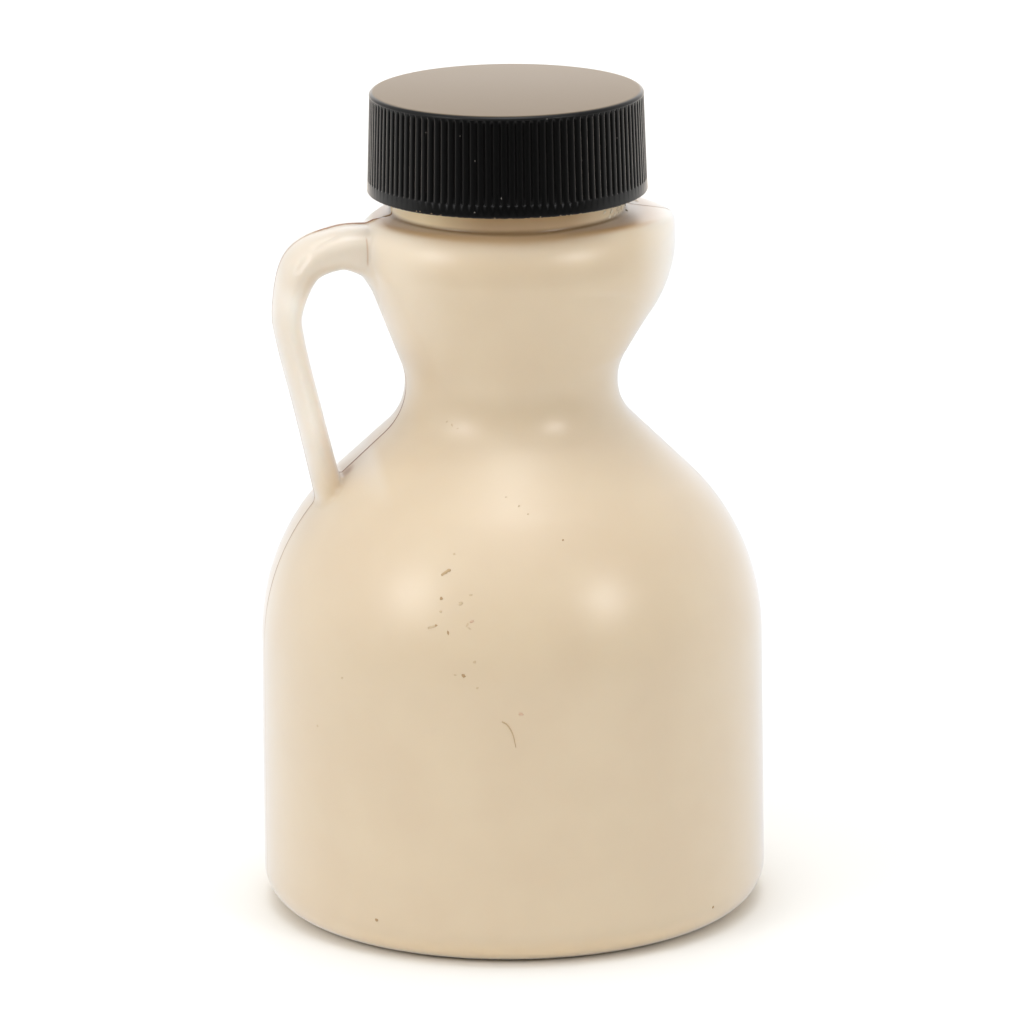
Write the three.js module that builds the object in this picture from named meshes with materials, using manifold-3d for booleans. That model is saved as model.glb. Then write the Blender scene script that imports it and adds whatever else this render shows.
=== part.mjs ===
// Small maple syrup jug: a blow-moulded jug with a loop handle, closed by a ribbed screw cap.
import * as THREE from 'three';
import { mergeVertices } from 'three/addons/utils/BufferGeometryUtils.js';
import Module from 'manifold-3d';

const wasm = await Module();
wasm.setup();

// Driving dimensions in millimetres. The base stands at z = 0, the axis is Z,
// the handle is on -X and the pouring lip on +X, in the mould's parting plane y = 0.
const BASE = { pushUp: 0.9, pushUpEdge: 0.72, pushUpRadius: 17, ringInner: 20 };
const WALL = { heelRadius: 27.55, heelArc: 4, sunkRadius: 27.4, sunkAt: 20, radius: 27.45 };
const SHOULDER = { start: 30, arc: 24.3 };
const NECK = { radius: 12.65, top: 88.6 };

// The collar over the waist is a different outline towards the front and back, the lip and the handle.
const FRONT = {
  waist: 11.55, waistAt: 58.3, fallingArc: 7, risingArc: 10, widest: 15.2, widestAt: 72.1, flareArc: 6,
  rim: 5.5, rimAt: 72.45, rimTurn: 56, neckAt: 77.05,
};
const LIP = {
  waist: 11.75, waistAt: 58.1, fallingArc: 6, risingArc: 6.5, widest: 18.2, widestAt: 74.2, flareArc: 16,
  rim: 1.1, rimAt: 75.1, rimTurn: 80, neckAt: 77.1,
};
const GRIP = {
  waist: 11.35, waistAt: 58.3, fallingArc: 7.3, risingArc: 6, widest: 16.35, widestAt: 73.4, flareArc: 4,
  rim: 3, rimAt: 73.8, rimTurn: 75, neckAt: 77,
};

// The handle's stations run from the neck over the elbow to its root in the shoulder.
const HANDLE = {
  neck: { x: -12.5, z: 72.7, halfThick: 4.2, halfWide: 4.8 },
  gusset: { x: -15.5, z: 73.4, halfThick: 2.85, halfWide: 4.3 },
  top: { x: -18.8, z: 73.65, halfThick: 2.25, halfWide: 4 },
  elbow: { x: -22.4, z: 72, halfThick: 2.35, halfWide: 3.8 },
  bend: { x: -24.05, z: 67.4, halfThick: 1.75, halfWide: 3.8 },
  leg: { x: -23.85, z: 63.6, halfThick: 1.5, halfWide: 3.7 },
  foot: { x: -22, z: 55.4, halfThick: 1.45, halfWide: 3.7 },
  root: { x: -19.4, z: 44, halfThick: 1.6, halfWide: 4 },
};

const CAP = { bottom: 79.2, top: 90.15, inner: 13.6, innerTop: 88.9 };
const BAND = { radius: 15.12, top: 80.75, edge: 0.32 };
const CROWN = { radius: 14.78, bottom: 89.2, edge: 0.55 };

// A rib rises and falls between these shares of its pitch, and the rings overlap the cup to join it.
const RIBS = { count: 112, radius: 15.06, topScale: 0.979, depth: 0.32, rise: 0.3, fall: 0.7, overlap: 0.15 };

// Numbers of flat facets round the turned pieces and along the curves.
const JUG_SIDES = 72;
const CAP_SIDES = RIBS.count;
const RIB_RING_SIDES = 48;
const HANDLE_STEPS = 26;
const HANDLE_SIDES = 16;
const STEPS = { heel: 5, shoulder: 9, falling: 4, rising: 3, flare: 5, rim: 3, capEdge: 3 };

// The collar keeps its front heights over most of each half, so they change as this power of the turn.
const HEIGHT_POWER = 4;

const plastic = new THREE.MeshStandardMaterial({ color: 0xe3cfae, roughness: 0.5, metalness: 0 });
const capPlastic = new THREE.MeshStandardMaterial({ color: 0x17171a, roughness: 0.45, metalness: 0 });

// Points on an arc in the (radius, height) plane, with its angles in degrees from the outward direction.
function arc(centre, radius, from, to, steps) {
  const points = [];
  for (let i = 0; i <= steps; i += 1) {
    const angle = THREE.MathUtils.degToRad(from + ((to - from) * i) / steps);
    points.push(new THREE.Vector2(centre.x + radius * Math.cos(angle), centre.y + radius * Math.sin(angle)));
  }
  return points;
}

// The angle at which a bulging arc hands over to a hollow one along their common tangent line.
// The hollow arc is above the bulging one where rising is 1, and below it where rising is -1.
function handOver(bulge, bulgeRadius, hollow, hollowRadius, rising) {
  const reach = hollow.clone().sub(bulge);
  const between = Math.atan2(reach.y * rising, reach.x);
  const swing = Math.acos((bulgeRadius + hollowRadius) / reach.length());
  return THREE.MathUtils.radToDeg(between - swing);
}

// One outline of the jug from the middle of its base to the middle of its mouth.
function outline(collar) {
  const heel = new THREE.Vector2(WALL.heelRadius - WALL.heelArc, WALL.heelArc);
  const shoulder = new THREE.Vector2(WALL.radius - SHOULDER.arc, SHOULDER.start);
  const falling = new THREE.Vector2(collar.waist + collar.fallingArc, collar.waistAt);
  const rising = new THREE.Vector2(collar.waist + collar.risingArc, collar.waistAt);
  const flare = new THREE.Vector2(collar.widest - collar.flareArc, collar.widestAt);
  const rim = new THREE.Vector2(collar.widest - collar.rim, collar.rimAt);
  const slope = handOver(shoulder, SHOULDER.arc, falling, collar.fallingArc, 1);
  const spread = handOver(flare, collar.flareArc, rising, collar.risingArc, -1);
  return [
    new THREE.Vector2(0, BASE.pushUp),
    new THREE.Vector2(BASE.pushUpRadius, BASE.pushUpEdge),
    new THREE.Vector2(BASE.ringInner, 0),
    ...arc(heel, WALL.heelArc, -90, 0, STEPS.heel),
    new THREE.Vector2(WALL.sunkRadius, WALL.sunkAt),
    ...arc(shoulder, SHOULDER.arc, 0, slope, STEPS.shoulder),
    ...arc(falling, collar.fallingArc, 180 + slope, 180, STEPS.falling),
    ...arc(rising, collar.risingArc, 180, 180 - spread, STEPS.rising).slice(1),
    ...arc(flare, collar.flareArc, -spread, 0, STEPS.flare),
    ...arc(rim, collar.rim, 0, collar.rimTurn, STEPS.rim),
    new THREE.Vector2(NECK.radius, collar.neckAt),
    new THREE.Vector2(NECK.radius, NECK.top),
    new THREE.Vector2(0, NECK.top),
  ];
}

// A turned body whose outline changes round the axis, from the front to the lip and to the handle side.
function jugBody() {
  const front = outline(FRONT);
  const lip = outline(LIP);
  const grip = outline(GRIP);
  const body = new THREE.LatheGeometry(front, JUG_SIDES);
  const place = body.attributes.position;
  for (let k = 0; k < place.count; k += 1) {
    const level = k % front.length;
    const turn = (Math.floor(k / front.length) / JUG_SIDES) * 2 * Math.PI;
    const across = Math.sin(turn);
    const side = across > 0 ? lip[level] : grip[level];
    const height = THREE.MathUtils.lerp(front[level].y, side.y, across ** HEIGHT_POWER);
    place.setXYZ(k, side.x * across, -front[level].x * Math.cos(turn), height);
  }
  return body;
}

// A straight round bar bent along the handle's stations, flattened to their thickness and width.
function handleBar() {
  const circle = new THREE.Shape().absarc(0, 0, 1, 0, 2 * Math.PI);
  const bar = new THREE.ExtrudeGeometry(circle, {
    depth: 1, steps: HANDLE_STEPS, curveSegments: HANDLE_SIDES, bevelEnabled: false,
  });
  const stations = Object.values(HANDLE);
  const route = new THREE.CatmullRomCurve3(stations.map((s) => new THREE.Vector3(s.x, 0, s.z)));
  const sizes = new THREE.SplineCurve(stations.map((s) => new THREE.Vector2(s.halfThick, s.halfWide)));
  const place = bar.attributes.position;
  for (let k = 0; k < place.count; k += 1) {
    const along = THREE.MathUtils.clamp(place.getZ(k), 0, 1);
    const centre = route.getPoint(along);
    const forward = route.getTangent(along);
    const size = sizes.getPoint(along);
    const thick = place.getX(k) * size.x;
    place.setXYZ(k, centre.x + forward.z * thick, place.getY(k) * size.y, centre.z - forward.x * thick);
  }
  return bar;
}

// The middle of the cap's wall behind the ribs, where the cup and the ring of ribs overlap.
const wallMiddle = (CAP.inner + RIBS.radius - RIBS.depth) / 2;

// The cap's cup, with a smooth band at its foot and another under its top.
function capCup() {
  const wall = RIBS.radius - RIBS.depth - 2 * RIBS.overlap;
  const foot = new THREE.Vector2(BAND.radius - BAND.edge, CAP.bottom + BAND.edge);
  const crown = new THREE.Vector2(CROWN.radius - CROWN.edge, CAP.top - CROWN.edge);
  const profile = [
    new THREE.Vector2(0, CAP.innerTop),
    new THREE.Vector2(CAP.inner, CAP.innerTop),
    new THREE.Vector2(CAP.inner, CAP.bottom),
    ...arc(foot, BAND.edge, -90, 0, STEPS.capEdge),
    new THREE.Vector2(BAND.radius, BAND.top),
    new THREE.Vector2(wall, BAND.top),
    new THREE.Vector2(wall * RIBS.topScale, CROWN.bottom),
    new THREE.Vector2(CROWN.radius, CROWN.bottom),
    ...arc(crown, CROWN.edge, 0, 90, STEPS.capEdge),
    new THREE.Vector2(0, CAP.top),
  ];
  return new THREE.LatheGeometry(profile, CAP_SIDES).rotateX(Math.PI / 2);
}

// The grip ribs, as one ring with a flat-topped rib and a narrow groove for each pitch.
function capRibs() {
  const ring = new THREE.Shape();
  const pitch = (2 * Math.PI) / RIBS.count;
  const corners = [[0, RIBS.radius - RIBS.depth], [RIBS.rise, RIBS.radius], [RIBS.fall, RIBS.radius]];
  for (let i = 0; i < RIBS.count; i += 1) {
    for (const [part, radius] of corners) {
      const angle = (i + part) * pitch;
      const method = i === 0 && part === 0 ? 'moveTo' : 'lineTo';
      ring[method](radius * Math.cos(angle), radius * Math.sin(angle));
    }
  }
  ring.closePath();
  ring.holes.push(new THREE.Path().absarc(0, 0, wallMiddle, 0, 2 * Math.PI, true));
  const bottom = BAND.top - RIBS.overlap;
  const height = CROWN.bottom + RIBS.overlap - bottom;
  const ribs = new THREE.ExtrudeGeometry(ring, {
    depth: height, curveSegments: RIB_RING_SIDES, bevelEnabled: false,
  });
  const place = ribs.attributes.position;
  for (let k = 0; k < place.count; k += 1) {
    const shrink = THREE.MathUtils.lerp(1, RIBS.topScale, place.getZ(k) / height);
    place.setXYZ(k, place.getX(k) * shrink, place.getY(k) * shrink, place.getZ(k) + bottom);
  }
  return ribs;
}

// A closed geometry as a solid that can be joined.
function solid(geometry) {
  geometry.deleteAttribute('normal');
  geometry.deleteAttribute('uv');
  const merged = mergeVertices(geometry);
  return new wasm.Manifold(new wasm.Mesh({
    numProp: 3,
    vertProperties: new Float32Array(merged.attributes.position.array),
    triVerts: new Uint32Array(merged.index.array),
  }));
}

// A joined solid as a named mesh.
function named(name, joined, material) {
  const { vertProperties, triVerts } = joined.getMesh();
  const geometry = new THREE.BufferGeometry();
  geometry.setAttribute('position', new THREE.BufferAttribute(vertProperties, 3));
  geometry.setIndex(new THREE.BufferAttribute(triVerts, 1));
  const mesh = new THREE.Mesh(geometry, material);
  mesh.name = name;
  return mesh;
}

const jug = new THREE.Group();
jug.add(named('jug', solid(jugBody()).add(solid(handleBar())), plastic));
jug.add(named('cap', solid(capCup()).add(solid(capRibs())), capPlastic));

export default jug;
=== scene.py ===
# Maple syrup jug: a beige blow-moulded polyethylene jug with a loop handle and a black ribbed screw cap.
import math
import random

import bpy
import numpy as np
from mathutils import Matrix, Vector, noise
from mathutils.bvhtree import BVHTree


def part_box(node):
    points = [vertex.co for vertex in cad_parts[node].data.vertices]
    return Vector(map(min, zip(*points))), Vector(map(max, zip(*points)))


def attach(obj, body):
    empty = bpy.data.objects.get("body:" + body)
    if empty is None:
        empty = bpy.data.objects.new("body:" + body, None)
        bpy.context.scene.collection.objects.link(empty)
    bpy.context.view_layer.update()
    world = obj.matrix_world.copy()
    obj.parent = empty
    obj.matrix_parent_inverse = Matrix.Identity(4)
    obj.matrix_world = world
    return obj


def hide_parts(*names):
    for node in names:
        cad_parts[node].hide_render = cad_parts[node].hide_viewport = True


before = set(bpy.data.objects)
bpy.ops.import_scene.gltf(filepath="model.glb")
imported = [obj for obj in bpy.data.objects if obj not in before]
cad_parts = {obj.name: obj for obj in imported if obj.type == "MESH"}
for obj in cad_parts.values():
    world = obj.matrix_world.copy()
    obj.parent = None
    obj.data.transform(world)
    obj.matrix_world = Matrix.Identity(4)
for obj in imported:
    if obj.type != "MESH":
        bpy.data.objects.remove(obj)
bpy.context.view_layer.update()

MM = 0.001

# Sizes in millimetres, in the frame of the solids: the base stands at z = 0, the axis is Z,
# the handle is on -X and the pouring lip on +X, and the mould's parting plane is y = 0.
BASE = {"push_up": 0.9, "push_up_edge": 0.72, "push_up_radius": 17, "ring_inner": 20}
PINCH_OFF = {"half_length": 15, "half_width": 0.35, "height": 0.4}
WALL = {"heel_radius": 27.53, "heel_arc": 4, "radius": 27.35, "bulge": 0.02}
SHOULDER = {"start": 30, "arc": 24.3}
NECK = {"radius": 12.65, "top": 88.6}

# The collar over the waist has a different outline towards the front and back, the lip and the handle.
FRONT = {
    "waist": 11.55, "waist_at": 58.3, "falling_arc": 7, "rising_arc": 10, "widest": 15.2, "widest_at": 72.1,
    "flare_arc": 6, "rim": 5.5, "rim_at": 72.45, "rim_turn": 56, "neck_at": 77.05,
}
LIP = {
    "waist": 11.75, "waist_at": 58.1, "falling_arc": 6, "rising_arc": 6.5, "widest": 18.2, "widest_at": 74.3,
    "flare_arc": 16, "rim": 1.0, "rim_at": 75.3, "rim_turn": 80, "neck_at": 77.1,
}
GRIP = {
    "waist": 11.35, "waist_at": 58.3, "falling_arc": 7.1, "rising_arc": 6.3, "widest": 16.35, "widest_at": 73.4,
    "flare_arc": 4, "rim": 3, "rim_at": 73.8, "rim_turn": 75, "neck_at": 77,
}
HEIGHT_POWER = {"lip": 4, "grip": 7}

# The handle's stations run from the neck over the elbow to its root in the shoulder: place in the
# parting plane, half of its thickness there, half of its width across the plane, and the power of its
# section, which is 2 for an ellipse and more for a section with flatter sides.
HANDLE = {
    "neck": (-12.5, 72.2, 3.8, 4.8, 2.4),
    "gusset": (-15.5, 73.4, 2.8, 4.3, 2.7),
    "top": (-18.8, 73.7, 2.25, 4.0, 2.5),
    "elbow": (-22.45, 72.05, 2.25, 3.8, 2.0),
    "bend": (-24.15, 67.4, 1.65, 3.8, 2.0),
    "leg": (-23.87, 63.6, 1.5, 3.7, 2.0),
    "foot": (-22.0, 55.4, 1.45, 3.7, 2.1),
    "root": (-19.4, 44.0, 1.6, 4.0, 2.2),
}
JOINT = {"shoulder": 0.5, "collar_under": 0.9, "collar_side": 0.25}

# The parting line is a fine groove between two faint swells left by the two halves of the mould. It is
# shallower on the wall and much deeper on the neck at the handle, and on top of the handle it is a low flash.
SEAM = {
    "groove": 0.06, "groove_half": 0.07, "swell": 0.03, "swell_half": 0.3, "wall_share": 0.4,
    "neck_groove": 0.3, "neck_groove_half": 0.18, "flash": 0.2, "flash_half": 0.13,
}

# Creases and dents by the handle's elbow: two ends, half of the width, and the depth.
DENTS = {
    "near_crease": ((-16.0, -3.4, 75.2), (-16.03, -4.3, 72.8), 0.1, 0.06),
    "far_crease": ((-16.0, 3.4, 75.2), (-16.03, 4.3, 72.8), 0.1, 0.06),
    "faint_crease": ((-16.33, -4.0, 74.4), (-16.35, -4.1, 72.5), 0.1, 0.04),
    "elbow_dent": ((-21.4, -2.98, 74.5), (-19.2, -2.5, 75.4), 0.4, 0.15),
    "bend_dent": ((-23.35, -3.5, 72.25), (-22.4, -3.4, 73.5), 0.36, 0.14),
}
DENT_REACH = 1.2

# Steps between the planes of the grid that the jug's surface is drawn from.
TURNS = np.linspace(0, math.pi, 121)
TURN_STEP = TURNS[1]
HEIGHT_STEP = 0.05
HEIGHTS = np.arange(-1, 90, HEIGHT_STEP)


def arc(centre, radius, start, end, count):
    """Points on an arc in the (radius, height) plane, with its angles in degrees from the outward direction."""
    angles = np.radians(np.linspace(start, end, count))
    return np.column_stack([centre[0] + radius * np.cos(angles), centre[1] + radius * np.sin(angles)])


def hand_over(bulge, bulge_radius, hollow, hollow_radius, rising):
    """The angle at which a bulging arc hands over to a hollow one along their common tangent line."""
    reach = (hollow[0] - bulge[0], (hollow[1] - bulge[1]) * rising)
    between = math.atan2(reach[1], reach[0])
    return math.degrees(between - math.acos((bulge_radius + hollow_radius) / math.hypot(*reach)))


def outline(collar):
    """One outline of the jug from its heel to its mouth, with the same number of points for each collar."""
    heel = (WALL["heel_radius"] - WALL["heel_arc"], WALL["heel_arc"])
    shoulder = (WALL["radius"] - SHOULDER["arc"], SHOULDER["start"])
    falling = (collar["waist"] + collar["falling_arc"], collar["waist_at"])
    rising = (collar["waist"] + collar["rising_arc"], collar["waist_at"])
    flare = (collar["widest"] - collar["flare_arc"], collar["widest_at"])
    rim = (collar["widest"] - collar["rim"], collar["rim_at"])
    slope = hand_over(shoulder, SHOULDER["arc"], falling, collar["falling_arc"], 1)
    spread = hand_over(flare, collar["flare_arc"], rising, collar["rising_arc"], -1)
    share = np.linspace(0, 1, 30)[1:-1]
    wall = np.column_stack([
        WALL["heel_radius"] + (WALL["radius"] - WALL["heel_radius"]) * share + WALL["bulge"] * np.sin(math.pi * share),
        WALL["heel_arc"] + (SHOULDER["start"] - WALL["heel_arc"]) * share,
    ])
    return np.vstack([
        arc(heel, WALL["heel_arc"], -90, 0, 40),
        wall,
        arc(shoulder, SHOULDER["arc"], 0, slope, 80),
        arc(falling, collar["falling_arc"], 180 + slope, 180, 40),
        arc(rising, collar["rising_arc"], 180, 180 - spread, 40)[1:],
        arc(flare, collar["flare_arc"], -spread, 0, 40),
        arc(rim, collar["rim"], 0, collar["rim_turn"], 40),
        [(NECK["radius"], collar["neck_at"]), (NECK["radius"], HEIGHTS[-1])],
    ])


def radius_table():
    """The jug's radius for each turn, from the lip at 0 to the handle at pi, and each height."""
    front, lip, grip = outline(FRONT), outline(LIP), outline(GRIP)
    table = np.empty((len(TURNS), len(HEIGHTS)))
    for row, turn in enumerate(TURNS):
        across, along = math.cos(turn), abs(math.sin(turn))
        side, power = (lip, HEIGHT_POWER["lip"]) if across > 0 else (grip, HEIGHT_POWER["grip"])
        radius = 1 / np.hypot(across / side[:, 0], along / front[:, 0])
        height = front[:, 1] + (side[:, 1] - front[:, 1]) * abs(across) ** power
        table[row] = np.interp(HEIGHTS, height, radius)
    kernel = np.exp(-0.5 * (np.arange(-6, 7) / 2) ** 2)
    padded = np.pad(table, ((0, 0), (6, 6)), mode="edge")
    return sum(w * padded[:, k:k + len(HEIGHTS)] for k, w in enumerate(kernel / kernel.sum()))


RADII = radius_table()
STEEPNESS = 1 / np.hypot(1, np.gradient(RADII, HEIGHT_STEP, axis=1))


def smooth_step(value, low, high):
    share = np.clip((value - low) / (high - low), 0, 1)
    return share * share * (3 - 2 * share)


def underside(x, y, radius):
    """Height of the base over the surface that it stands on: a raised middle with the pinched-off seam in it."""
    dome = BASE["push_up"] - (BASE["push_up"] - BASE["push_up_edge"]) * (radius / BASE["push_up_radius"]) ** 2
    ring = smooth_step(radius, BASE["push_up_radius"], BASE["ring_inner"])
    ends = 1 - smooth_step(np.abs(x), PINCH_OFF["half_length"] - 2, PINCH_OFF["half_length"])
    seam = PINCH_OFF["height"] * ends * np.exp(-((y / PINCH_OFF["half_width"]) ** 2))
    return dome * (1 - ring) - seam


def body_field(x, y, z):
    """Signed distance, near the surface, from the jug without its handle."""
    radius = np.hypot(x, y)
    row = np.arctan2(np.abs(y), x) / TURN_STEP
    column = np.clip((z - HEIGHTS[0]) / HEIGHT_STEP, 0, len(HEIGHTS) - 1.001)
    i = np.minimum(row.astype(int), len(TURNS) - 2)
    j = column.astype(int)
    u, v = row - i, column - j

    def sample(table):
        low = (1 - v) * table[i, j] + v * table[i, j + 1]
        high = (1 - v) * table[i + 1, j] + v * table[i + 1, j + 1]
        return (1 - u) * low + u * high

    wall = (radius - sample(RADII)) * sample(STEEPNESS)
    return np.maximum(np.maximum(wall, underside(x, y, radius) - z), z - NECK["top"])


def smooth_route(stations, steps):
    """A Catmull-Rom curve through the stations, with their other measures carried along it."""
    points = np.vstack([2 * stations[0] - stations[1], stations, 2 * stations[-1] - stations[-2]])
    t = np.linspace(0, 1, steps, endpoint=False)[:, None]
    spans = []
    for a, b, c, d in zip(points, points[1:], points[2:], points[3:]):
        spans.append(0.5 * (2 * b + (c - a) * t + (2 * a - 5 * b + 4 * c - d) * t ** 2 + (3 * b - a - 3 * c + d) * t ** 3))
    return np.vstack(spans + [stations[-1:]])


ROUTE = smooth_route(np.array(list(HANDLE.values())), 24)
ROUTE_TANGENT = np.gradient(ROUTE[:, :2], axis=0)
ROUTE_STEP = np.linalg.norm(ROUTE_TANGENT, axis=1)
ROUTE_TANGENT /= ROUTE_STEP[:, None]
ROUTE_GROWTH = np.gradient(ROUTE[:, 2:], axis=0) / ROUTE_STEP[:, None]


def handle_field(x, y, z):
    """Signed distance, near the surface, from the handle's bar."""
    squared = (x[:, None] - ROUTE[:, 0]) ** 2 + (z[:, None] - ROUTE[:, 1]) ** 2
    near = squared.argmin(1)
    dx, dz = x - ROUTE[near, 0], z - ROUTE[near, 1]
    tangent = ROUTE_TANGENT[near]
    along = dx * tangent[:, 0] + dz * tangent[:, 1]
    outward = dx * tangent[:, 1] - dz * tangent[:, 0]
    ahead = np.clip(along, -ROUTE_STEP[near], ROUTE_STEP[near])
    thick, wide, n = (ROUTE[near, 2:] + ROUTE_GROWTH[near] * ahead[:, None]).T
    u, v = np.maximum(np.abs(outward) / thick, 1e-3), np.maximum(np.abs(y) / wide, 1e-3)
    level = (u ** n + v ** n) ** (1 / n)
    steep = level ** (1 - n) * np.hypot(u ** (n - 1) / thick, v ** (n - 1) / wide)
    return (level - 1) / steep + np.abs(along - ahead)


def from_segment(x, y, z, start, end):
    """Distance to a straight piece, or only a large number for points far outside it."""
    start, end = np.array(start), np.array(end)
    near = (x > min(start[0], end[0]) - DENT_REACH) & (x < max(start[0], end[0]) + DENT_REACH)
    near &= (z > min(start[2], end[2]) - DENT_REACH) & (z < max(start[2], end[2]) + DENT_REACH)
    distance = np.full_like(x, 9.0)
    if near.any():
        offset = np.column_stack([x[near], y[near], z[near]]) - start
        along = end - start
        share = np.clip(offset @ along / (along @ along), 0, 1)
        distance[near] = np.linalg.norm(offset - share[:, None] * along, axis=1)
    return distance


def jug_field(x, y, z):
    """Signed distance, near the surface, from the whole jug, with the handle's joints filled in."""
    field = body_field(x, y, z)
    near = (x < -9) & (np.abs(y) < 8) & (z > 41) & (z < 80)
    if near.any():
        handle = np.full_like(field, 9.0)
        handle[near] = np.concatenate([
            handle_field(a, b, c) for a, b, c in zip(*(np.array_split(q[near], 1 + near.sum() // 20000) for q in (x, y, z)))
        ])
        blend = JOINT["shoulder"] + (JOINT["collar_under"] - JOINT["shoulder"]) * smooth_step(z, 55, 65)
        blend += (JOINT["collar_side"] - JOINT["collar_under"]) * smooth_step(z, 71.6, 73.2)
        overlap = np.maximum(blend - np.abs(field - handle), 0)
        field = np.minimum(field, handle) - overlap ** 2 / (4 * blend)
    seam = SEAM["groove"] * np.exp(-((y / SEAM["groove_half"]) ** 2))
    seam -= SEAM["swell"] * np.exp(-((y / SEAM["swell_half"]) ** 2))
    seam *= SEAM["wall_share"] + (1 - SEAM["wall_share"]) * smooth_step(z, 28, 38)
    notch = SEAM["neck_groove"] * np.exp(-((y / SEAM["neck_groove_half"]) ** 2)) * smooth_step(z, 76.4, 77)
    notch *= (x < 0) * smooth_step(16 - np.abs(x), 0, 3)
    flash = SEAM["flash"] * np.exp(-((y / SEAM["flash_half"]) ** 2)) * smooth_step(z, 70, 73)
    flash *= smooth_step(-x, 12.9, 13.6) * (1 - 0.7 * smooth_step(-x, 20, 24))
    field = field + (seam + notch) * smooth_step(z, 0.5, 2) * (1 - smooth_step(z, 79, 81)) - flash
    for start, end, half, depth in DENTS.values():
        field += depth * np.exp(-((from_segment(x, y, z, start, end) / half) ** 2))
    return field


def planes(*stretches):
    """Positions along one axis, from stretches given as a start and a step, and at last an end."""
    found = []
    for (start, step), after in zip(stretches, stretches[1:]):
        count = max(1, round((after[0] - start) / step))
        found.extend(np.linspace(start, after[0], count, endpoint=False))
    return np.array(found + [stretches[-1][0]])


def grid_axes():
    """Grid planes in millimetres, close together at the handle, the collar and the parting line."""
    x = planes((-28.3, 0.34), (-16.7, 0.12), (-15.3, 0.36), (-10, 0.6), (28.4,))
    half = planes((0.025, 0.05), (0.175, 0.09), (0.445, 0.16), (0.925, 0.3), (5.2, 0.6), (28.2,))
    z = planes((-0.5, 0.2), (1.5, 0.5), (5, 1.2), (29, 0.55), (46, 0.42), (71, 0.24), (79.5, 1.2), (89.5,))
    return x, np.concatenate([-half[::-1], half]), z


def surface_net(function, axes):
    """Points and four-sided faces of the zero surface of a function, drawn from its values on grid planes."""
    x, y, z = axes
    shape = tuple(len(a) for a in axes)
    field = np.empty(shape)
    gx, gy = (a.ravel() for a in np.meshgrid(x, y, indexing="ij"))
    for k, height in enumerate(z):
        field[:, :, k] = function(gx, gy, np.full_like(gx, height)).reshape(shape[:2])
    cells = tuple(n - 1 for n in shape)
    total = np.zeros((np.prod(cells), 3))
    count = np.zeros(np.prod(cells))
    faces = []
    for axis in range(3):
        low = [slice(None)] * 3
        high = [slice(None)] * 3
        low[axis], high[axis] = slice(0, -1), slice(1, None)
        before, after = field[tuple(low)], field[tuple(high)]
        crossed = (before < 0) != (after < 0)
        at = np.argwhere(crossed)
        share = before[crossed] / (before[crossed] - after[crossed])
        point = np.column_stack([a[at[:, n]] for n, a in enumerate(axes)])
        point[:, axis] += share * (axes[axis][at[:, axis] + 1] - axes[axis][at[:, axis]])
        first, second = (axis + 1) % 3, (axis + 2) % 3
        corners = []
        for back_first, back_second in ((1, 1), (0, 1), (0, 0), (1, 0)):
            cell = at.copy()
            cell[:, first] -= back_first
            cell[:, second] -= back_second
            number = np.ravel_multi_index(cell.T, cells)
            count += np.bincount(number, minlength=len(count))
            for n in range(3):
                total[:, n] += np.bincount(number, point[:, n], minlength=len(count))
            corners.append(number)
        quad = np.column_stack(corners)
        outward = before[crossed] < 0
        faces.append(np.where(outward[:, None], quad, quad[:, ::-1]))
    used = np.nonzero(count)[0]
    index = np.zeros(len(count), int)
    index[used] = np.arange(len(used))
    return total[used] / count[used, None], index[np.vstack(faces)]


def settle(points, function, rounds=3):
    """Points moved along the function's slope onto its zero surface."""
    small = 0.02
    for _ in range(rounds):
        value = function(*points.T)
        slope = np.empty_like(points)
        for n in range(3):
            step = np.zeros(3)
            step[n] = small
            slope[:, n] = (function(*(points + step).T) - function(*(points - step).T)) / (2 * small)
        length = np.maximum((slope ** 2).sum(1), 0.25)
        move = value / length
        points = points - slope * np.clip(move, -0.2, 0.2)[:, None]
    return points


# The cap in millimetres, measured on its solid where that says the size.
CAP_LOW, CAP_HIGH = (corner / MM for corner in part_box("cap"))
CAP = {"bottom": CAP_LOW.z, "top": CAP_HIGH.z, "inner": 13.6, "inner_top": 88.9}
BAND = {"radius": CAP_HIGH.x, "top": 80.48, "edge": 0.2, "ragged": 0.09}
# The top is flat out to a faint lip, and rounded over outside it.
CROWN = {"radius": 14.78, "edge_wide": 0.6, "edge_high": 0.42, "lip": 0.06, "lip_drop": 0.006}
# A rib's groove runs out in a small arch under the crown and in a steep facet at the band.
RIBS = {
    "count": 112, "radius": CAP_HIGH.x - 0.06, "top_scale": 0.979, "depth": 0.26, "sharpness": 3.5,
    "arch": 0.4, "arch_start": 0.7, "facet": 0.2,
}
RIB_COLUMNS = 10


def mesh_object(name, points, faces, material, smooth=True):
    """A new object from points in millimetres."""
    mesh = bpy.data.meshes.new(name)
    mesh.from_pydata((np.asarray(points) * MM).tolist(), [], [list(map(int, f)) for f in faces])
    mesh.validate()
    mesh.polygons.foreach_set("use_smooth", [smooth] * len(mesh.polygons))
    mesh.materials.append(material)
    piece = bpy.data.objects.new(name, mesh)
    bpy.context.scene.collection.objects.link(piece)
    return piece


def colour(code):
    """A linear colour from an sRGB hex code."""
    parts = [int(code[k:k + 2], 16) / 255 for k in (1, 3, 5)]
    return tuple(c / 12.92 if c <= 0.04045 else ((c + 0.055) / 1.055) ** 2.4 for c in parts) + (1.0,)


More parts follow.
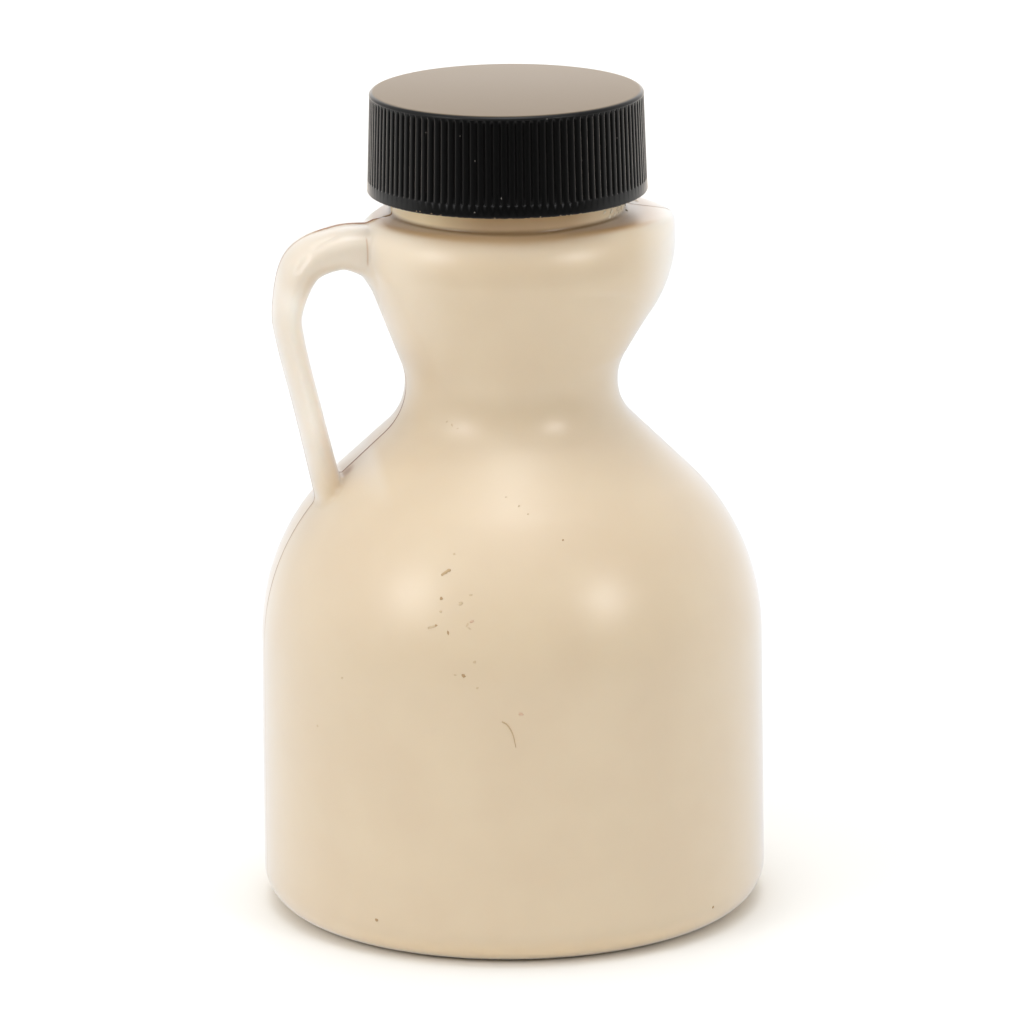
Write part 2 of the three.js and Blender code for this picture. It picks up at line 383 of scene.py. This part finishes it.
def add(tree, kind, settings=None, **links):
    """A node of a kind: settings are attributes, or values of inputs by name or number, and links feed inputs."""
    node = tree.nodes.new(kind)
    for key, value in (settings or {}).items():
        if isinstance(key, str) and hasattr(node, key):
            setattr(node, key, value)
        else:
            node.inputs[key].default_value = value
    for key, source in links.items():
        tree.links.new(source, node.inputs[int(key[1:]) if key[1:].isdigit() else key.replace("_", " ")])
    return node


def new_material(name):
    material = bpy.data.materials.new(name)
    material.use_nodes = True
    material.node_tree.nodes.clear()
    return material, material.node_tree


# Painted shade and brown marks in millimetres: how far the painted shade reaches round the neck's foot and into
# the corner there, its half width in the handle's crease, and the half widths of the brown parting line, how much it
# wavers, and its share of the brown on the wall and on the shoulder.
PAINTED_SHADE_AND_MARKS = {
    "shade_round_neck": 2.6, "corner_shade_reach": 0.6, "crease_shade_half": 0.13, "line_half": 0.26, "line_core": 0.1,
    "line_waver": 0.14, "on_wall": 0.12, "on_shoulder": 0.6, "handle_foot": (-18.1, -1, 49.1), "foot_reach": 1.3,
}


def polyethylene():
    """Blow-moulded high-density polyethylene, pigmented beige: satin, faintly grained, a little translucent."""
    material, tree = new_material("blow_moulded_polyethylene")
    place = add(tree, "ShaderNodeTexCoord").outputs["Object"]
    mottle = add(tree, "ShaderNodeTexNoise", {"Scale": 1 / (9 * MM), "Detail": 2.0}, Vector=place)
    ramp = add(tree, "ShaderNodeValToRGB", Fac=mottle.outputs["Fac"])
    ramp.color_ramp.elements[0].position = 0.35
    ramp.color_ramp.elements[0].color = colour("#D4C0A3")
    ramp.color_ramp.elements[1].position = 0.65
    ramp.color_ramp.elements[1].color = colour("#D7C4A7")
    spot = add(tree, "ShaderNodeSeparateXYZ", Vector=place)

    def ranged(value, start, end, low=0.0, high=1.0):
        limits = {
            "interpolation_type": "SMOOTHSTEP", "From Min": start * MM, "From Max": end * MM,
            "To Min": low, "To Max": high,
        }
        return add(tree, "ShaderNodeMapRange", limits, Value=value).outputs[0]

    def past(axis, start, end):
        return ranged(spot.outputs[axis], start, end)

    def both(one, other):
        return add(tree, "ShaderNodeMath", {"operation": "MULTIPLY"}, i0=one, i1=other).outputs[0]

    def tinted(below, code, share):
        return add(tree, "ShaderNodeMix", {"data_type": "RGBA", 7: colour(code)}, i0=share, i6=below).outputs[2]

    # Painted light: the thin-walled handle and lip, and the collar on the grip side, are painted paler, standing in for
    # light that comes through the thin walls.
    handle = both(past("X", -14.6, -16), past("Z", 47, 52))
    tone = tinted(ramp.outputs["Color"], "#E2D2BA", both(past("X", -7, -14), past("Z", 60, 66)))
    tone = tinted(tone, "#DFD3C2", handle)
    # Painted light: the inner side of the handle's leg is painted paler still.
    lean = add(tree, "ShaderNodeVectorMath", {"operation": "DOT_PRODUCT", 1: (1, 0, 0.18)}, i0=place)
    inner = both(ranged(lean.outputs["Value"], -13.6, -11.4), both(past("Z", 71, 68), past("Z", 51, 56)))
    tone = tinted(tone, "#F4EDE2", both(handle, inner))
    tone = tinted(tone, "#F0E8DB", both(past("X", 11, 18), past("Z", 60, 66)))
    # Painted light: the heel is painted lighter and warmer, standing in for light bounced up from the floor through the
    # plastic.
    tone = tinted(tone, "#E6CDA6", past("Z", 3.5, 0.5))
    # Painted shade: the neck in the cap's shade is painted a deeper tan.
    tone = tinted(tone, "#CBAC82", past("Z", 76.5, 77.3))
    # Painted shade: the collar's top under the cap is painted a deeper tan, and a brown tint round the neck's foot
    # stands in for the shade in the corner there.
    flat = add(tree, "ShaderNodeVectorMath", {"operation": "MULTIPLY", 1: (1, 1, 0)}, i0=place)
    radius = add(tree, "ShaderNodeVectorMath", {"operation": "LENGTH"}, i0=flat.outputs["Vector"])
    profile = add(tree, "ShaderNodeCombineXYZ", X=radius.outputs["Value"], Z=spot.outputs["Z"])
    corner = (NECK["radius"] * MM, 0, FRONT["neck_at"] * MM)
    gap = add(tree, "ShaderNodeVectorMath", {"operation": "DISTANCE", 1: corner}, i0=profile.outputs["Vector"])
    tone = tinted(tone, "#BC935C", past("Z", 76.2, 76.8))
    tone = tinted(tone, "#C6A67E", ranged(gap.outputs["Value"], PAINTED_SHADE_AND_MARKS["shade_round_neck"], 0.3))
    # Painted light: the neck's sides are painted paler, standing in for light that comes through the plastic from
    # behind.
    aside = add(tree, "ShaderNodeMath", {"operation": "ABSOLUTE"}, i0=spot.outputs["X"])
    tone = tinted(tone, "#F6DDB0", both(past("Z", 76.9, 77.3), ranged(aside.outputs[0], 4, 12)))
    # Painted shade: the corner itself is painted a darker brown.
    tone = tinted(tone, "#96754C", ranged(gap.outputs["Value"], PAINTED_SHADE_AND_MARKS["corner_shade_reach"], 0))
    # Painted shade: the crease where the handle's side meets the collar is painted darker.
    crease = add(tree, "ShaderNodeMath", {"operation": "ADD", 1: -DENTS["near_crease"][0][0] * MM}, i0=spot.outputs["X"])
    crease = add(tree, "ShaderNodeMath", {"operation": "ABSOLUTE"}, i0=crease.outputs[0])
    reach = both(both(past("Z", 75.6, 75.1), past("Z", 72.2, 72.9)), past("Y", -2.8, -3.5))
    tone = tinted(tone, "#D0B8A0", both(ranged(crease.outputs[0], PAINTED_SHADE_AND_MARKS["crease_shade_half"], 0.03), reach))
    # The parting line is tinted brown, most of all on top of the handle, and hardly on the wall.
    waver = add(tree, "ShaderNodeTexNoise", {"Scale": 1 / (0.6 * MM)}, Vector=place)
    shift = add(tree, "ShaderNodeMath", {
        "operation": "MULTIPLY_ADD", 1: PAINTED_SHADE_AND_MARKS["line_waver"] * MM, 2: -PAINTED_SHADE_AND_MARKS["line_waver"] * MM / 2,
    }, i0=waver.outputs["Fac"])
    aside = add(tree, "ShaderNodeMath", {"operation": "ADD"}, i0=spot.outputs["Y"], i1=shift.outputs[0])
    aside = add(tree, "ShaderNodeMath", {"operation": "ABSOLUTE"}, i0=aside.outputs[0])
    line = ranged(aside.outputs[0], PAINTED_SHADE_AND_MARKS["line_half"], PAINTED_SHADE_AND_MARKS["line_core"])
    faint = ranged(spot.outputs["Z"], 28, 38, PAINTED_SHADE_AND_MARKS["on_wall"], PAINTED_SHADE_AND_MARKS["on_shoulder"])
    strong = both(both(past("X", -23.5, -20), past("X", -12, -13)), past("Z", 69, 72))
    share = add(tree, "ShaderNodeMath", {"operation": "MAXIMUM"}, i0=faint, i1=strong)
    behind = both(past("X", -9, -12), both(past("Z", 44, 47), past("Z", 60, 57)))
    share = add(tree, "ShaderNodeMath", {"operation": "MAXIMUM"}, i0=share.outputs[0], i1=behind)
    tone = tinted(tone, "#8A5C34", both(line, share.outputs[0]))
    # A brown spot is tinted at the handle's foot.
    foot = tuple(v * MM for v in PAINTED_SHADE_AND_MARKS["handle_foot"])
    gap = add(tree, "ShaderNodeVectorMath", {"operation": "DISTANCE", 1: foot}, i0=place)
    tone = tinted(tone, "#AB865A", ranged(gap.outputs["Value"], PAINTED_SHADE_AND_MARKS["foot_reach"], 0.2))
    grain = add(tree, "ShaderNodeTexNoise", {"Scale": 1 / (0.35 * MM), "Detail": 3.0}, Vector=place)
    bump = add(tree, "ShaderNodeBump", {"Strength": 0.12, "Distance": 0.03 * MM}, Height=grain.outputs["Fac"])
    shader = add(tree, "ShaderNodeBsdfPrincipled", {
        "Roughness": 0.32, "IOR": 1.5, "Specular IOR Level": 0.65, "Subsurface Weight": 0.3, "Subsurface Scale": 2.5 * MM,
        "Subsurface Radius": (1.0, 0.8, 0.6), "Sheen Weight": 0.8, "Sheen Roughness": 0.4, "Sheen Tint": colour("#EEF4FF"),
    }, Base_Color=tone, Normal=bump.outputs["Normal"])
    add(tree, "ShaderNodeOutputMaterial", Surface=shader.outputs["BSDF"])
    return material


def polypropylene():
    """Injection-moulded polypropylene, black and glossy, with a browner, duller top."""
    material, tree = new_material("moulded_black_polypropylene")
    place = add(tree, "ShaderNodeTexCoord").outputs["Object"]
    spot = add(tree, "ShaderNodeSeparateXYZ", Vector=place)
    top = add(tree, "ShaderNodeMapRange", {
        "From Min": (CAP["top"] - 0.08) * MM, "From Max": (CAP["top"] - 0.01) * MM,
    }, Value=spot.outputs["Z"])
    tone = add(tree, "ShaderNodeMix", {
        "data_type": "RGBA", 6: colour("#030303"), 7: colour("#66502D"),
    }, i0=top.outputs[0])
    grain = add(tree, "ShaderNodeTexNoise", {"Scale": 1 / (0.25 * MM), "Detail": 3.0}, Vector=place)
    bump = add(tree, "ShaderNodeBump", {"Strength": 0.1, "Distance": 0.02 * MM}, Height=grain.outputs["Fac"])
    dull = add(tree, "ShaderNodeMath", {"operation": "MULTIPLY_ADD", 1: 0.16, 2: 0.31}, i0=top.outputs[0])
    shader = add(tree, "ShaderNodeBsdfPrincipled", {
        "IOR": 1.49, "Specular IOR Level": 0.25, "Sheen Weight": 0.9, "Sheen Roughness": 0.25,
        "Sheen Tint": colour("#FFF0E2"),
    }, Base_Color=tone.outputs[2], Roughness=dull.outputs[0], Normal=bump.outputs["Normal"])
    add(tree, "ShaderNodeOutputMaterial", Surface=shader.outputs["BSDF"])
    return material


def make_jug(material):
    points, faces = surface_net(jug_field, grid_axes())
    jug = mesh_object("jug_shell", settle(points, jug_field), faces, material)
    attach(jug, "root")
    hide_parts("jug")
    return jug


def cap_rows():
    """The cap's outline as rows of radius, height, how far a groove is lifted there, and its share of the depth."""
    start = CAP["top"] - CROWN["lip_drop"] - CROWN["edge_high"]
    rows = [(CROWN["radius"] - CROWN["edge_wide"] - CROWN["lip"], CAP["top"], 0.0, 0.0)]
    for wide, high in arc((0, 0), 1, 90, 0, 9):
        radius = CROWN["radius"] - CROWN["edge_wide"] * (1 - wide)
        rows.append((radius, start + CROWN["edge_high"] * high, 0.0, 0.0))
    heights = np.concatenate([
        start - RIBS["arch"] * np.linspace(0, 1, 9) ** 1.5,
        np.linspace(start - RIBS["arch"], BAND["top"] + RIBS["facet"], 7)[1:-1],
        BAND["top"] + RIBS["facet"] * np.linspace(1, 0, 5),
    ])
    for z in heights:
        along = (z - BAND["top"]) / (start - BAND["top"])
        radius = RIBS["radius"] * (1 + (RIBS["top_scale"] - 1) * along)
        lift = RIBS["arch_start"] * RIBS["depth"] * max(0, 1 - (start - z) / RIBS["arch"]) ** 2
        rows.append((radius, z, lift, min(1, (z - BAND["top"]) / RIBS["facet"])))
    foot = (BAND["radius"] - BAND["edge"], CAP["bottom"] + BAND["edge"])
    rows += [(r, z, 0.0, 0.0) for r, z in arc(foot, BAND["edge"], 0, -90, 6)]
    rows += [(CAP["inner"] + 0.2, CAP["bottom"], 0.0, 0.0), (CAP["inner"], CAP["bottom"] + 0.2, 0.0, 0.0)]
    rows += [(CAP["inner"], CAP["inner_top"], 0.0, 0.0)]
    return rows


def make_cap(material):
    """The cap as a turned cup, with convex ribs between narrow grooves, and a ragged lower edge."""
    columns = RIBS["count"] * RIB_COLUMNS
    turn = np.arange(columns) * 2 * math.pi / columns
    across = np.abs(2 * ((np.arange(columns) / RIB_COLUMNS) % 1) - 1)
    groove = RIBS["depth"] * across ** RIBS["sharpness"]
    circle = CAP_HIGH.x * np.column_stack([np.cos(turn), np.sin(turn)])
    ragged = np.array([noise.noise(Vector((x, y, 0)) * 3) + 0.6 * noise.noise(Vector((x, y, 5)) * 9) for x, y in circle])
    ragged = BAND["ragged"] * np.maximum(ragged, 0)
    points = [(0, 0, CAP["top"])]
    rows = cap_rows()
    for radius, z, lift, share in rows:
        r = radius - share * np.maximum(groove - lift, 0)
        low = max(0, 1 - (z - CAP["bottom"]) / 0.3)
        points.extend(zip(r * np.cos(turn), r * np.sin(turn), z + low * ragged))
    points.append((0, 0, CAP["inner_top"]))
    faces = []
    for c in range(columns):
        after = (c + 1) % columns
        faces.append((0, 1 + c, 1 + after))
        for level in range(len(rows) - 1):
            top, low = 1 + level * columns, 1 + (level + 1) * columns
            faces.append((top + c, low + c, low + after, top + after))
        last = 1 + (len(rows) - 1) * columns
        faces.append((last + c, len(points) - 1, last + after))
    cap = mesh_object("cap_shell", points, faces, material)
    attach(cap, "root")
    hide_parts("cap")
    return cap


# The camera stands where the photo was taken: the handle side is turned towards it, and it looks down.
CAMERA = {"turn": 10.0, "down": 14.79, "roll": 0.60, "distance": 760.9, "lens": 245.4, "target": (0.129, -0.023, 43.25)}


PICTURE = {"pixels": 1024, "sensor": 36}


def camera_axes():
    """The camera's right, up and forward directions."""
    turn, down, roll = (math.radians(CAMERA[k]) for k in ("turn", "down", "roll"))
    forward = Vector((math.cos(down) * math.sin(turn), math.cos(down) * math.cos(turn), -math.sin(down)))
    level = Vector((math.cos(turn), -math.sin(turn), 0))
    rise = level.cross(forward)
    right = math.cos(roll) * level - math.sin(roll) * rise
    return right, math.sin(roll) * level + math.cos(roll) * rise, forward


def make_camera():
    right, up, forward = camera_axes()
    place = (Vector(CAMERA["target"]) - CAMERA["distance"] * forward) * MM
    data = bpy.data.cameras.new("camera")
    data.lens = CAMERA["lens"]
    data.sensor_width = PICTURE["sensor"]
    data.clip_start = 0.01
    data.clip_end = 20
    camera = bpy.data.objects.new("camera", data)
    camera.matrix_world = Matrix.Translation(place) @ Matrix((right, up, -forward)).transposed().to_4x4()
    bpy.context.scene.collection.objects.link(camera)
    bpy.context.scene.camera = camera


# What lies on the plastic, and dark lumps of painted shade by the neck, placed where the photo shows it. Each mark is
# given by its pixel across and down
# in the picture, its length and width in millimetres, and its length's turn from level in the picture.
MARKS = {
    "dried_syrup_specks": {"colour": "#B8986F", "height": 0.05, "at": [
        (441.3, 598.3, 0.38, 0.34, 0), (448.0, 633.0, 0.22, 0.5, 10), (463.5, 675.9, 0.46, 0.36, -50),
        (376.6, 920.0, 0.36, 0.32, 0), (713.0, 907.0, 0.3, 0.3, 0), (436.0, 625.4, 0.3, 0.22, 0),
        (563.0, 540.0, 0.24, 0.2, 30),
    ]},
    "syrup_fleck": {"colour": "#C6A981", "height": 0.05, "at": [
        (445.0, 572.8, 0.9, 0.36, 32), (448.5, 570.6, 0.46, 0.34, 20), (442.5, 574.5, 0.3, 0.2, 60),
    ]},
    "faint_smears": {"colour": "#D6BE9C", "height": 0.015, "at": [
        (460.6, 603.6, 0.5, 0.34, 30), (471.0, 595.2, 0.34, 0.2, 0), (440.6, 611.6, 0.34, 0.24, 0),
        (432.0, 627.2, 0.95, 0.26, 12), (467.3, 624.8, 0.4, 0.22, 60), (469.5, 628.5, 0.5, 0.16, -30),
        (474.6, 662.0, 0.34, 0.3, 0), (477.4, 688.0, 0.3, 0.26, 0), (455.0, 675.0, 0.3, 0.2, 0),
        (342.0, 678.0, 0.3, 0.26, 0), (317.4, 725.8, 0.3, 0.24, 0), (454.0, 554.0, 0.3, 0.22, 0),
        (447.0, 421.5, 0.3, 0.2, 20), (452.0, 425.0, 0.36, 0.2, -40), (457.5, 428.5, 0.3, 0.16, 10),
        (506.0, 497.0, 0.26, 0.16, 0), (519.0, 506.0, 0.3, 0.18, 40), (528.0, 514.0, 0.24, 0.2, 0),
    ]},
    "reddish_smears": {"colour": "#DAB89C", "height": 0.015, "at": [
        (472.0, 621.5, 0.5, 0.3, 20), (521.0, 714.0, 0.5, 0.34, -20),
    ]},
    "neck_flash": {"colour": "#FFF0D6", "height": 0.07, "at": [
        (604.5, 212.5, 0.7, 0.3, 12), (611.5, 211.4, 0.7, 0.4, 15), (617.5, 208.9, 0.6, 0.5, 30),
        (621.3, 206.9, 0.44, 0.6, 0), (614.5, 214.6, 0.7, 0.4, 30), (609.5, 217.0, 0.6, 0.4, 10),
        (619.0, 211.8, 0.6, 0.36, 45), (636.8, 200.9, 0.5, 0.3, 20),
    ]},
    # Painted shade: dark lumps put in the gap by the neck stand in for the shade there.
    "painted_shade_in_neck_gap": {"colour": "#7A6A4C", "height": 0.06, "at": [
        (625.0, 204.4, 0.28, 0.8, 0), (626.6, 210.4, 0.28, 0.9, 12),
    ]},
    "crumbs_on_the_edge": {"colour": "#8F7D66", "height": 0.07, "at": [
        (381.5, 204.0, 0.2, 0.12, 0), (416.5, 211.3, 0.14, 0.14, 0), (420.2, 211.6, 0.14, 0.16, 0),
        (431.5, 213.6, 0.2, 0.12, 0), (441.0, 215.0, 0.16, 0.1, 0), (495.0, 218.3, 0.24, 0.12, 0),
        (540.5, 217.0, 0.2, 0.12, 0), (560.5, 215.6, 0.22, 0.14, 0), (571.0, 214.7, 0.2, 0.12, 0),
    ]},
    "dust_on_the_ribs": {"colour": "#6E6A64", "height": 0.04, "at": [
        (501.4, 198.6, 0.14, 0.26, 0), (474.6, 212.6, 0.16, 0.16, 0), (460.0, 136.0, 0.12, 0.14, 0),
        (426.0, 132.5, 0.12, 0.12, 0), (475.0, 161.0, 0.1, 0.14, 0), (382.5, 162.5, 0.12, 0.1, 0),
        (582.0, 160.5, 0.1, 0.12, 0), (617.0, 138.0, 0.12, 0.12, 0), (547.0, 119.0, 0.16, 0.1, 0),
    ]},
}
# A short hair lies on the wall: pixels across and down, and the radius in millimetres.
HAIR = [
    (501.7, 721.7, 0.06), (504.4, 722.8, 0.07), (506.7, 724.2, 0.07), (509.0, 726.9, 0.06), (510.8, 730.0, 0.055),
    (512.2, 733.0, 0.05), (513.3, 735.8, 0.05), (514.3, 739.6, 0.04), (515.0, 743.3, 0.035), (515.8, 747.5, 0.03),
]
LUMP = {"rings": 6, "sides": 10, "rough": 0.3}
HAIR_SIDES = 6


def seen_at(tree, across, down):
    """The point of the surface that the camera sees at a pixel, in metres, and the surface's direction there."""
    right, up, forward = camera_axes()
    step = PICTURE["sensor"] / PICTURE["pixels"] / CAMERA["lens"]
    middle = PICTURE["pixels"] / 2
    ray = forward + (across - middle) * step * right + (middle - down) * step * up
    place = (Vector(CAMERA["target"]) - CAMERA["distance"] * forward) * MM
    point, normal, _, _ = tree.ray_cast(place, ray.normalized())
    return point, normal


def lump(point, normal, size, turn, chance):
    """An irregular low lump on a surface: points in millimetres and faces."""
    right, up, _ = camera_axes()
    long = math.cos(math.radians(turn)) * right + math.sin(math.radians(turn)) * up
    long = (long - long.dot(normal) * normal).normalized()
    wide = normal.cross(long)
    rings, sides = LUMP["rings"], LUMP["sides"]
    points = []
    for ring in range(1, rings):
        tip = math.pi * ring / rings
        for side in range(sides):
            around = 2 * math.pi * side / sides
            rough = 1 + LUMP["rough"] * (chance.random() - 0.5) * 2
            flat = rough * math.sin(tip)
            offset = flat * (size[0] / 2 * math.cos(around) * long + size[1] / 2 * math.sin(around) * wide)
            points.append(point / MM + offset + size[2] * math.cos(tip) * rough * normal)
    points += [point / MM + size[2] * normal, point / MM - size[2] * normal]
    top, low = len(points) - 2, len(points) - 1
    faces = []
    for side in range(sides):
        after = (side + 1) % sides
        faces.append((top, side, after))
        faces += [(r + side, r + sides + side, r + sides + after, r + after) for r in range(0, (rings - 2) * sides, sides)]
        faces.append((low, (rings - 2) * sides + after, (rings - 2) * sides + side))
    return points, faces


def residue(name, code):
    """Dried residue: dull, a little uneven in tone."""
    material, tree = new_material(name)
    place = add(tree, "ShaderNodeTexCoord").outputs["Object"]
    uneven = add(tree, "ShaderNodeTexNoise", {"Scale": 1 / (0.2 * MM)}, Vector=place)
    darker = tuple(0.75 * c for c in colour(code)[:3]) + (1.0,)
    tone = add(tree, "ShaderNodeMix", {"data_type": "RGBA", 6: darker, 7: colour(code)}, i0=uneven.outputs["Fac"])
    shader = add(tree, "ShaderNodeBsdfPrincipled", {"Roughness": 0.7}, Base_Color=tone.outputs[2])
    add(tree, "ShaderNodeOutputMaterial", Surface=shader.outputs["BSDF"])
    return material


def make_marks(tree):
    chance = random.Random(11)
    for name, kind in MARKS.items():
        points, faces = [], []
        for across, down, length, width, turn in kind["at"]:
            point, normal = seen_at(tree, across, down)
            if point is None:
                continue
            new_points, new_faces = lump(point, normal, (length, width, kind["height"]), turn, chance)
            faces += [tuple(len(points) + n for n in face) for face in new_faces]
            points += new_points
        piece = mesh_object(name, points, faces, residue(name, kind["colour"]))
        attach(piece, "root")


def make_hair(tree):
    """A tapering tube that lies on the wall through the hair's points."""
    found = [seen_at(tree, across, down) for across, down, _ in HAIR]
    points, faces = [], []
    for n, ((point, normal), (_, _, radius)) in enumerate(zip(found, HAIR)):
        along = (found[min(n + 1, len(found) - 1)][0] - found[max(n - 1, 0)][0]).normalized()
        side = normal.cross(along)
        for k in range(HAIR_SIDES):
            around = 2 * math.pi * k / HAIR_SIDES
            lift = radius * ((0.6 + math.sin(around)) * normal + math.cos(around) * side)
            points.append(point / MM + lift)
        if n:
            row = n * HAIR_SIDES
            before = row - HAIR_SIDES
            pairs = [(k, (k + 1) % HAIR_SIDES) for k in range(HAIR_SIDES)]
            faces += [(before + a, before + b, row + b, row + a) for a, b in pairs]
    faces += [tuple(range(HAIR_SIDES))[::-1], tuple(range(len(points) - HAIR_SIDES, len(points)))]
    hair = mesh_object("hair", points, faces, residue("light_brown_hair", "#CDB28C"))
    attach(hair, "root")


FLOOR = {"half_side": 3000, "white_to": 170, "dark_from": 250, "dark_sector": 0.5}


def heading(turn, rise):
    """A direction from the jug: degrees clockwise from straight behind it, as the camera sees it, and up."""
    turn, rise = math.radians(turn + CAMERA["turn"]), math.radians(rise)
    return Vector((math.sin(turn) * math.cos(rise), math.cos(turn) * math.cos(rise), math.sin(rise)))


# The white tent round the jug glows in soft patches: direction, sharpness and brightness of each.
GLOW = {
    "back_wall": (heading(0, 8), 10, 2.2),
    "back_right_wall": (heading(65, 8), 5, 1.0),
    "back_left_wall": (heading(285, 8), 5, 1.03),
    "back_lamp": (heading(0, 27), 30, 0.9),
    "left_box": (heading(235, 31), 15, 1.2),
    "left_lamp": (heading(235, 31), 80, 6.5),
    "right_lamp": (heading(131, 28), 150, 14.0),
    "front_box": (heading(180, 58), 10, 0.8),
    "roof": (heading(0, 90), 4, 1.03),
    "roof_box": (heading(0, 90), 15, 1.05),
    "roof_lamp": (heading(0, 90), 60, 5.5),
}


def make_studio():
    """A white floor in a white tent, which lights the jug from all round but little from the front."""
    world = bpy.data.worlds.new("white_tent")
    world.use_nodes = True
    bpy.context.scene.world = world
    tree = world.node_tree
    tree.nodes.clear()
    view = add(tree, "ShaderNodeTexCoord").outputs["Generated"]
    glow = None
    for toward, sharpness, strength in GLOW.values():
        dot = add(tree, "ShaderNodeVectorMath", {"operation": "DOT_PRODUCT", 1: toward}, i0=view)
        fall = add(tree, "ShaderNodeMath", {"operation": "MULTIPLY_ADD", 1: sharpness, 2: -sharpness}, i0=dot.outputs["Value"])
        patch = add(tree, "ShaderNodeMath", {"operation": "EXPONENT"}, i0=fall.outputs[0])
        glow = add(tree, "ShaderNodeMath", {"operation": "MULTIPLY_ADD", 1: strength, 2: 0.0}, i0=patch.outputs[0],
                   **({"i2": glow.outputs[0]} if glow else {}))
    background = add(tree, "ShaderNodeBackground", {"Color": colour("#FFFFFF")}, Strength=glow.outputs[0])
    add(tree, "ShaderNodeOutputWorld", Surface=background.outputs["Background"])
    # Painted dark reflection: only in reflections is the floor dark beyond a little way in front of the jug; to the
    # camera and to bounced light it stays white paper.
    material, tree = new_material("matt_white_paper")
    place = add(tree, "ShaderNodeTexCoord").outputs["Object"]
    far = add(tree, "ShaderNodeVectorMath", {"operation": "LENGTH"}, i0=place)
    toward = add(tree, "ShaderNodeVectorMath", {"operation": "NORMALIZE"}, i0=place)
    ahead = add(tree, "ShaderNodeVectorMath", {"operation": "DOT_PRODUCT", 1: heading(180, 0)}, i0=toward.outputs[0])
    far_out = add(tree, "ShaderNodeMapRange", {
        "interpolation_type": "SMOOTHSTEP", "From Min": FLOOR["white_to"] * MM, "From Max": FLOOR["dark_from"] * MM,
    }, Value=far.outputs["Value"])
    in_front = add(tree, "ShaderNodeMapRange", {
        "interpolation_type": "SMOOTHSTEP", "From Min": 0.0, "From Max": FLOOR["dark_sector"],
    }, Value=ahead.outputs["Value"])
    share = add(tree, "ShaderNodeMath", {"operation": "MULTIPLY"}, i0=far_out.outputs[0], i1=in_front.outputs[0])
    mirrored = add(tree, "ShaderNodeLightPath").outputs["Is Glossy Ray"]
    share = add(tree, "ShaderNodeMath", {"operation": "MULTIPLY"}, i0=share.outputs[0], i1=mirrored)
    tone = add(tree, "ShaderNodeMix", {
        "data_type": "RGBA", 6: colour("#EEEEEC"), 7: colour("#181818"),
    }, i0=share.outputs[0])
    shader = add(tree, "ShaderNodeBsdfPrincipled", {"Roughness": 0.9}, Base_Color=tone.outputs[2])
    add(tree, "ShaderNodeOutputMaterial", Surface=shader.outputs["BSDF"])
    side = FLOOR["half_side"]
    floor = mesh_object("floor", [(-side, -side, 0), (side, -side, 0), (side, side, 0), (-side, side, 0)], [(0, 1, 2, 3)], material)


bpy.context.scene.view_settings.view_transform = "Standard"
make_camera()
make_studio()
beige = polyethylene()
black = polypropylene()
jug = make_jug(beige)
cap = make_cap(black)
surface = BVHTree.FromPolygons(
    [v.co for piece in (jug, cap) for v in piece.data.vertices],
    [tuple(f.vertices) for f in jug.data.polygons]
    + [tuple(n + len(jug.data.vertices) for n in f.vertices) for f in cap.data.polygons],
)
make_marks(surface)
make_hair(surface)
